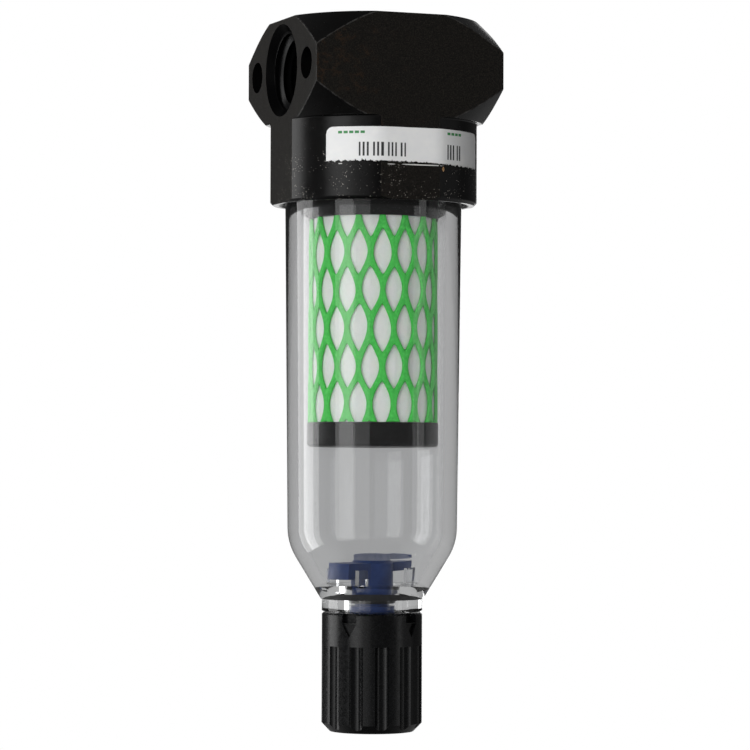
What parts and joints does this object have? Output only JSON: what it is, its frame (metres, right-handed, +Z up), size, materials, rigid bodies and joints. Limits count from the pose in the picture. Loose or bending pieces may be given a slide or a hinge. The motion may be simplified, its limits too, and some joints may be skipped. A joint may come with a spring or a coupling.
{
  "type": "compressed air filter",
  "caption": "In-line compressed air filter: square ported head, clear screw-on bowl, push-on filter element in a net sleeve, and a ribbed twist drain below.",
  "frame": {"origin": "where the port axis crosses the bowl axis, midway between the two tie bolt holes", "axes": "+Z up along the bowl axis, +X along the ports towards the outlet, -Y the labelled front"},
  "size_m": [0.0352, 0.0353, 0.1259],
  "materials": {
    "head_black": "black anodised, satin",
    "label": "silver-white film",
    "black_plastic": "moulded, satin",
    "knob_black": "moulded, satin",
    "seal_rubber": "smooth",
    "clear_bowl": "clear polycarbonate",
    "resin": "cast",
    "support_steel": "perforated sheet",
    "filter_white": "fibrous",
    "net_green": "extruded net",
    "stem_blue": "moulded"
  },
  "bodies": {
    "head": {"head": "head_black", "name_label": "label", "element_nipple": "black_plastic", "nipple_gasket": "seal_rubber"},
    "bowl_ring": {"bowl_seal": "seal_rubber"},
    "bowl": {"bowl": "clear_bowl"},
    "element": {"element_top_cap": "black_plastic", "element_bottom_cap": "black_plastic", "top_bond": "resin", "bottom_bond": "resin", "core_tube": "support_steel", "filter_media": "filter_white", "outer_support": "support_steel", "drain_layer": "filter_white", "net_sleeve": "net_green", "element_seal": "seal_rubber"},
    "drain_knob": {"drain_knob": "knob_black"},
    "drain_stem": {"drain_stem": "stem_blue", "stem_upper_seal": "seal_rubber", "stem_lower_seal": "seal_rubber"}
  },
  "joints": [
    {"name": "bowl_travel", "type": "slide", "parent": "head", "child": "bowl_ring", "axis": [0, 0, -1], "range_m": [0, 0.00755]},
    {"name": "bowl_turn", "type": "hinge", "parent": "bowl_ring", "child": "bowl", "pos_m": [0, 0, -0.0133], "axis": [0, 0, -1], "range_deg": [0, 1080]},
    {"name": "element_pull", "type": "slide", "parent": "head", "child": "element", "axis": [0, 0, -1], "range_m": [0, 0.012]},
    {"name": "knob_turn", "type": "hinge", "parent": "bowl", "child": "drain_knob", "pos_m": [0, 0, -0.0958], "axis": [0, 0, -1], "range_deg": [0, 180]},
    {"name": "stem_lift", "type": "slide", "parent": "bowl", "child": "drain_stem", "axis": [0, 0, 1], "range_m": [0, 0.00135]}
  ],
  "couplings": [
    {"joint": "bowl_travel", "follows": "bowl_turn", "m_per_rad": 0.00039789},
    {"joint": "stem_lift", "follows": "knob_turn", "m_per_rad": 0.0004138}
  ]
}
